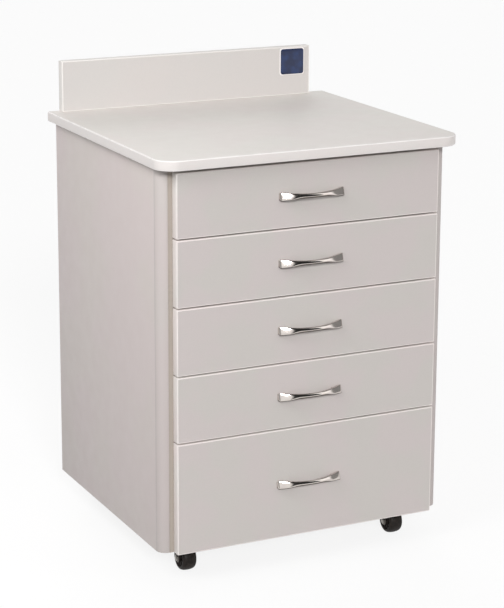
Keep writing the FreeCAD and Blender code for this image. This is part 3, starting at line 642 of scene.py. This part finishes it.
def make_washers(corner):
    """The washers between a fork's legs and the axle's nut and head."""
    axle = JOINTS[f"wheel_{corner}_roll"]["pos_m"]
    shape = bmesh.new()
    for side in (-1, 1):
        outline = [(FORK_OUTSIDE, BORE_RADIUS),
                   (FORK_OUTSIDE, WASHER_RADIUS - 0.3 * MM),
                   (FORK_OUTSIDE + 0.3 * MM, WASHER_RADIUS),
                   (FORK_OUTSIDE + 0.7 * MM, WASHER_RADIUS - 0.3 * MM),
                   (FORK_OUTSIDE + WASHER_THICKNESS, WASHER_RADIUS - 0.9 * MM),
                   (FORK_OUTSIDE + WASHER_THICKNESS, BORE_RADIUS)]
        turned(shape, outline, lambda along, a, b: (axle[0] + side * along, axle[1] + a, axle[2] + b), 40)
    keep(piece_from(shape, f"axle_washers_{corner}", [WASHER_STEEL]), f"swivel_{corner}")


def make_wheel(corner):
    """A moulded wheel: crowned tread with a parting groove, dished sides and a hub."""
    axle = JOINTS[f"wheel_{corner}_roll"]["pos_m"]
    half = [(across * MM, radius * MM) for across, radius in WHEEL_OUTLINE]
    outline = half + [(-across, radius) for across, radius in reversed(half)]
    shape = bmesh.new()
    turned(shape, outline, lambda along, a, b: (axle[0] + along, axle[1] + a, axle[2] + b), WHEEL_STEPS)
    wheel = piece_from(shape, f"moulded_wheel_{corner}", [MATERIALS["caster_wheel"]])
    keep(wheel, f"wheel_{corner}", [f"caster_wheel_{corner}"])


def group_inputs(tree, **kinds):
    """Gives a Geometry Nodes tree its named inputs, and returns the sockets to read them from."""
    for name, kind in kinds.items():
        tree.interface.new_socket(name, in_out="INPUT", socket_type=kind)
    tree.interface.new_socket("Geometry", in_out="OUTPUT", socket_type="NodeSocketGeometry")
    return tree.nodes.new("NodeGroupInput").outputs


def finish_tree(tree, instances, material):
    """Ends a tree: real geometry, its finish and the way out."""
    real = add(tree, "GeometryNodeRealizeInstances", {"Geometry": instances}).outputs["Geometry"]
    dressed = add(tree, "GeometryNodeSetMaterial", {"Geometry": real, "Material": material})
    add(tree, "NodeGroupOutput", {"Geometry": dressed.outputs["Geometry"]})


def aimed_at(tree, vector):
    """A rotation that points Z along a vector."""
    return add(tree, "FunctionNodeAlignRotationToVector", {"Vector": vector}, axis="Z").outputs["Rotation"]


def screw_tree():
    """One pan head with a cross recess on each point, looking along the point's aim."""
    tree = bpy.data.node_groups.new("cross_head_screws", "GeometryNodeTree")
    given = group_inputs(tree, Points="NodeSocketGeometry", Radius="NodeSocketFloat",
                         Height="NodeSocketFloat", Recess="NodeSocketFloat", Finish="NodeSocketMaterial")
    crown = add(tree, "ShaderNodeMath", {0: given["Radius"], 1: 0.62}, operation="MULTIPLY").outputs["Value"]
    head = add(tree, "GeometryNodeMeshCone", {
        "Vertices": 20, "Radius Top": crown, "Radius Bottom": given["Radius"], "Depth": given["Height"],
    }).outputs["Mesh"]
    top = add(tree, "ShaderNodeCombineXYZ", {"Z": given["Height"]}).outputs["Vector"]
    slots = []
    for across, along in (("X", "Y"), ("Y", "X")):
        size = add(tree, "ShaderNodeCombineXYZ",
                   {across: given["Recess"], along: given["Radius"], "Z": given["Height"]}).outputs["Vector"]
        slot = add(tree, "GeometryNodeMeshCube", {"Size": size}).outputs["Mesh"]
        lifted = add(tree, "GeometryNodeTransform", {"Geometry": slot, "Translation": top})
        slots.append(lifted.outputs["Geometry"])
    cross = add(tree, "GeometryNodeMeshBoolean", operation="UNION")
    for slot in slots:
        tree.links.new(slot, cross.inputs["Mesh 2"])
    cut = add(tree, "GeometryNodeMeshBoolean", {"Mesh 1": head}, operation="DIFFERENCE")
    tree.links.new(cross.outputs["Mesh"], cut.inputs["Mesh 2"])
    aim = add(tree, "GeometryNodeInputNamedAttribute", {"Name": "aim"}, data_type="FLOAT_VECTOR")
    turn = aimed_at(tree, aim.outputs["Attribute"])
    placing = {"Points": given["Points"], "Instance": cut.outputs["Mesh"], "Rotation": turn}
    placed = add(tree, "GeometryNodeInstanceOnPoints", placing).outputs["Instances"]
    finish_tree(tree, placed, given["Finish"])
    return tree


def rib_tree():
    """Ribs like spokes on each point, in the plane across X."""
    tree = bpy.data.node_groups.new("wheel_ribs", "GeometryNodeTree")
    given = group_inputs(tree, Points="NodeSocketGeometry", Count="NodeSocketInt", Radius="NodeSocketFloat",
                         Length="NodeSocketFloat", Width="NodeSocketFloat", Depth="NodeSocketFloat",
                         Finish="NodeSocketMaterial")
    circle = add(tree, "GeometryNodeMeshCircle",
                 {"Vertices": given["Count"], "Radius": given["Radius"]}).outputs["Mesh"]
    size = add(tree, "ShaderNodeCombineXYZ",
               {"X": given["Width"], "Y": given["Depth"], "Z": given["Length"]}).outputs["Vector"]
    rib = add(tree, "GeometryNodeMeshCube", {"Size": size}).outputs["Mesh"]
    outward = add(tree, "GeometryNodeInputPosition").outputs["Position"]
    upright = add(tree, "FunctionNodeAxesToRotation", {"Primary Axis": outward, "Secondary Axis": (0, 0, 1)},
                  primary_axis="Z", secondary_axis="Y").outputs["Rotation"]
    spokes = add(tree, "GeometryNodeInstanceOnPoints",
                 {"Points": circle, "Instance": rib, "Rotation": upright}).outputs["Instances"]
    on_side = add(tree, "GeometryNodeTransform",
                  {"Geometry": spokes, "Rotation": (0, TURN / 4, 0)}).outputs["Geometry"]
    placed = add(tree, "GeometryNodeInstanceOnPoints",
                 {"Points": given["Points"], "Instance": on_side}).outputs["Instances"]
    finish_tree(tree, placed, given["Finish"])
    return tree


def grown(name, tree, places, aims, **inputs):
    """A plain mesh piece that a tree makes on some places, each with its aim."""
    mesh = bpy.data.meshes.new(name)
    mesh.from_pydata(places, [], [])
    attribute = mesh.attributes.new("aim", "FLOAT_VECTOR", "POINT")
    attribute.data.foreach_set("vector", [number for aim in aims for number in aim])
    seed = bpy.data.objects.new(name + "_places", mesh)
    bpy.context.scene.collection.objects.link(seed)
    maker = seed.modifiers.new("maker", "NODES")
    maker.node_group = tree
    for item in tree.interface.items_tree:
        if item.in_out == "INPUT" and item.name in inputs:
            maker[item.identifier] = inputs[item.name]
    seen = seed.evaluated_get(bpy.context.evaluated_depsgraph_get())
    made = bpy.data.meshes.new_from_object(seen)
    made.name = name
    bpy.data.objects.remove(seed, do_unlink=True)
    made.set_sharp_from_angle(angle=math.radians(35))
    piece = bpy.data.objects.new(name, made)
    bpy.context.scene.collection.objects.link(piece)
    return piece


def make_screws():
    """Caster plate screws, handle screws inside the drawers, and the screws that hold the back panel."""
    tree = screw_tree()
    zinc = MATERIALS["zinc_steel"]
    places = []
    for corner in CORNERS:
        x, y = JOINTS[f"swivel_{corner}_turn"]["pos_m"][:2]
        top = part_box("caster_screws")[0].z + PLATE_HEAD["Height"]
        places += [(x + a * PLATE_SCREW_SPACING, y + b * PLATE_SCREW_SPACING, top)
                   for a in (-1, 1) for b in (-1, 1)]
    plate_screws = grown("plate_screws", tree, places, [(0, 0, -1)] * len(places), Finish=zinc, **PLATE_HEAD)
    keep(plate_screws, "cabinet", ["caster_screws"])
    for drawer in DRAWERS:
        node = f"handle_screws_{drawer}"
        low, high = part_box(node)
        rear = high.y - HANDLE_HEAD["Height"]
        places = [(side * POST_X, rear, (low.z + high.z) / 2) for side in (-1, 1)]
        heads = grown(f"handle_bolts_{drawer}", tree, places, [(0, 1, 0)] * 2, Finish=zinc, **HANDLE_HEAD)
        keep(heads, BODY_OF_NODE[node], [node])
    low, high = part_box("back_panel")
    inset = BACK_SCREW_INSET
    places = [(x, high.y, z) for x in (low.x + inset, high.x - inset) for z in BACK_SCREW_ROWS]
    places += [(x, high.y, z) for x in BACK_SCREW_COLUMNS for z in (high.z - inset, low.z + inset)]
    back = grown("back_panel_screws", tree, places, [(0, 1, 0)] * len(places), Finish=zinc, **BACK_HEAD)
    keep(back, "cabinet")


def make_ribs():
    """The ribs in the dished sides of the wheels."""
    tree = rib_tree()
    for corner in CORNERS:
        axle = JOINTS[f"wheel_{corner}_roll"]["pos_m"]
        places = [(axle[0] + side * RIB_FROM_MIDDLE, axle[1], axle[2]) for side in (-1, 1)]
        ribs = grown(f"wheel_ribs_{corner}", tree, places, [(1, 0, 0)] * 2, Count=RIBS, Radius=RIB_MIDDLE,
                     Length=RIB_LENGTH, Width=RIB_WIDTH, Depth=RIB_DEPTH, Finish=MATERIALS["caster_wheel"])
        keep(ribs, f"wheel_{corner}")


def rounded_plate(name, low, high, corner, crown, materials):
    """A small upright plate with round corners and a domed face towards the front."""
    centre = (Vector(low) + Vector(high)) / 2
    half_x = (high[0] - low[0]) / 2
    half_z = (high[2] - low[2]) / 2
    outline = []
    for quarter in range(4):
        turn = TURN * quarter / 4
        sign_x = 1 if quarter in (0, 3) else -1
        sign_z = 1 if quarter in (0, 1) else -1
        for step in range(7):
            angle = turn + TURN / 4 * step / 6
            outline.append((sign_x * (half_x - corner) + corner * math.cos(angle),
                            sign_z * (half_z - corner) + corner * math.sin(angle)))
    shape = bmesh.new()
    layers = [(1.0, high[1]), (1.0, low[1] + crown * 0.9)]
    layers += [(math.cos(angle), low[1] + crown * 0.9 * (1 - math.sin(angle)))
               for angle in [TURN / 4 * step / 10 for step in range(1, 10)]]
    rings = []
    for scale, y in layers:
        inset = (1 - scale) * min(half_x, half_z)
        rings.append([
            shape.verts.new((centre.x + x * (1 - inset / half_x), y, centre.z + z * (1 - inset / half_z)))
            for x, z in outline
        ])
    for here, there in zip(rings, rings[1:]):
        for step in range(len(outline)):
            after = (step + 1) % len(outline)
            shape.faces.new((here[step], here[after], there[after], there[step]))
    shape.faces.new(rings[0])
    shape.faces.new(rings[-1])
    return piece_from(shape, name, materials)


def make_badge():
    """A bare enamel plate in a pale frame, at the right end of the splash board."""
    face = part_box("backsplash")[0].y
    for name, side, depth, thickness, material in (
            ("badge_frame", BADGE_SIDE + 2 * BADGE_RIM, 0.0, 1.0 * MM, EDGE_HIGHLIGHT_AND_RIM),
            ("badge_plate", BADGE_SIDE, 1.0 * MM, 1.4 * MM, ENAMEL)):
        low = (BADGE_CENTRE_X - side / 2, face - depth - thickness, BADGE_CENTRE_Z - side / 2)
        high = (BADGE_CENTRE_X + side / 2, face - depth, BADGE_CENTRE_Z + side / 2)
        plate = rounded_plate(name, low, high, BADGE_CORNER, thickness * 0.7, [material])
        keep(plate, "cabinet")


def studio_floor():
    """A wide pale floor that the cabinet stands on, which the camera, metal and glass see nearly white."""
    material, tree, shader = blank_material("studio_floor", roughness=0.9, specular_ior_level=0.1)
    rays = add(tree, "ShaderNodeLightPath").outputs
    seen = rays["Is Camera Ray"]
    for kind in ("Is Glossy Ray", "Is Transmission Ray"):
        seen = add(tree, "ShaderNodeMath", {0: seen, 1: rays[kind]}, operation="MAXIMUM").outputs["Value"]
    levels = {"Value": seen, "To Min": FLOOR_LIT, "To Max": FLOOR_SEEN}
    level = add(tree, "ShaderNodeMapRange", levels).outputs["Result"]
    pale = add(tree, "ShaderNodeCombineColor", {"Red": level, "Green": level, "Blue": level}).outputs["Color"]
    shade(tree, shader, pale, noise(tree, object_place(tree), 0.6), 0.995, 1.005)
    share = add(tree, "ShaderNodeMath", {0: seen, 1: FLOOR_WHITE_SHARE}, operation="MULTIPLY")
    white = add(tree, "ShaderNodeEmission", {"Strength": 1.0}).outputs["Emission"]
    mixed = add(tree, "ShaderNodeMixShader", {0: share.outputs["Value"], 1: shader.outputs["BSDF"], 2: white})
    tree.links.new(mixed.outputs["Shader"], tree.nodes["Material Output"].inputs["Surface"])
    mesh = bpy.data.meshes.new("studio_floor")
    corners = [(x * FLOOR_REACH, y * FLOOR_REACH, 0) for x, y in ((-1, -1), (1, -1), (1, 1), (-1, 1))]
    mesh.from_pydata(corners, [], [(0, 1, 2, 3)])
    mesh.materials.append(material)
    floor = bpy.data.objects.new("studio_floor", mesh)
    bpy.context.scene.collection.objects.link(floor)


def towards(azimuth, elevation):
    """A direction: azimuth 0 is the front, 90 the right, and elevation is above the horizon, in degrees."""
    side, rise = math.radians(azimuth), math.radians(elevation)
    return Vector((math.sin(side) * math.cos(rise), -math.cos(side) * math.cos(rise), math.sin(rise)))


def smooth_step(tree, value, start, stop, low, high):
    """A number that eases from low to high as value goes from start to stop."""
    inputs = {"Value": value, "From Min": start, "From Max": stop, "To Min": low, "To Max": high}
    return add(tree, "ShaderNodeMapRange", inputs, interpolation_type="SMOOTHSTEP").outputs["Result"]


def studio_world():
    """Studio walls, bright and dark by turns, under an even ceiling, which the camera sees as white."""
    world = bpy.data.worlds.new("studio")
    bpy.context.scene.world = world
    world.use_nodes = True
    tree = world.node_tree
    direction = add(tree, "ShaderNodeTexCoord").outputs["Generated"]
    part = add(tree, "ShaderNodeSeparateXYZ", {"Vector": direction}).outputs
    backwards = add(tree, "ShaderNodeMath", {0: part["Y"], 1: -1.0}, operation="MULTIPLY").outputs["Value"]
    azimuth = add(tree, "ShaderNodeMath", {0: part["X"], 1: backwards}, operation="ARCTAN2").outputs["Value"]
    circle = {"Value": azimuth, "From Min": -math.pi, "From Max": math.pi}
    share = add(tree, "ShaderNodeMapRange", circle).outputs["Result"]
    stops = [((turn + 180) / 360, (level, level, level, 1)) for turn, level in STUDIO_WALLS]
    walls = ramp(tree, share, *stops)
    ceiling = (CEILING_LEVEL, CEILING_LEVEL, CEILING_LEVEL, 1)
    start, stop = (math.sin(math.radians(elevation)) for elevation in (CEILING_FROM, CEILING_TO))
    rise = smooth_step(tree, part["Z"], start, stop, 0.0, 1.0)
    level = add(tree, "ShaderNodeMix", {0: rise, 6: walls, 7: ceiling}, data_type="RGBA").outputs[2]
    seen = add(tree, "ShaderNodeLightPath").outputs["Is Camera Ray"]
    shown = add(tree, "ShaderNodeMix", {0: seen, 6: level, 7: (1, 1, 1, 1)}, data_type="RGBA").outputs[2]
    tree.links.new(shown, tree.nodes["Background"].inputs["Color"])


def lamp(name, kind, energy, aim, **settings):
    """A lamp that shines from the direction aim."""
    data = bpy.data.lights.new(name, kind)
    data.energy = energy
    for setting, value in settings.items():
        setattr(data, setting, value)
    holder = bpy.data.objects.new(name, data)
    bpy.context.scene.collection.objects.link(holder)
    holder.rotation_mode = "QUATERNION"
    holder.rotation_quaternion = aim.to_track_quat("Z", "Y")
    holder.visible_camera = False
    return holder


def studio_lamps():
    """A soft key light in front, broad ones behind and on the right, and a softbox near the left side."""
    lamp("key_light", "SUN", 1.88, towards(-15, 24), angle=math.radians(12))
    rear = lamp("rear_light", "SUN", 1.25, towards(165, 18), angle=math.radians(36))
    rear.visible_glossy = False
    fill = lamp("right_fill", "SUN", 1.0, towards(96, 4), angle=math.radians(30))
    fill.visible_glossy = False
    softbox = lamp("side_softbox", "AREA", 18.5, towards(-62, 38), shape="DISK", size=1.1)
    softbox.location = Vector((-1.6, -0.75, 1.85))


def photo_camera():
    """The camera that was fitted to the photograph's straight edges."""
    yaw, pitch, roll = (math.radians(angle) for angle in (26.036, 13.672, 0.251))
    forward = Vector((math.sin(yaw) * math.cos(pitch), math.cos(yaw) * math.cos(pitch), -math.sin(pitch)))
    right = Vector((math.cos(yaw), -math.sin(yaw), 0.0))
    up = right.cross(forward)
    across = math.cos(roll) * right + math.sin(roll) * up
    upright = math.cos(roll) * up - math.sin(roll) * right
    focal_px, frame_height_px, centre_above_px = 2056.2, 608, 60
    data = bpy.data.cameras.new("photo_camera")
    data.sensor_width = 36.0
    data.lens = focal_px / frame_height_px * data.sensor_width
    data.shift_y = -centre_above_px / frame_height_px
    data.clip_end = 200.0
    camera = bpy.data.objects.new("photo_camera", data)
    bpy.context.scene.collection.objects.link(camera)
    turned = Matrix((across, upright, -forward)).transposed().to_4x4()
    camera.matrix_world = Matrix.Translation((-1.6922, -3.4770, 1.5033)) @ turned
    bpy.context.scene.camera = camera


dress_frame()
make_fronts()
make_splash_board()
make_worktop_band()
make_side_panels()
for number in DRAWERS:
    make_handle(number)
for place_name in CORNERS:
    make_fork(place_name)
    make_wheel(place_name)
    make_washers(place_name)
make_ribs()
make_screws()
make_badge()
studio_floor()
studio_world()
studio_lamps()
photo_camera()
bpy.context.scene.view_settings.view_transform = "Standard"
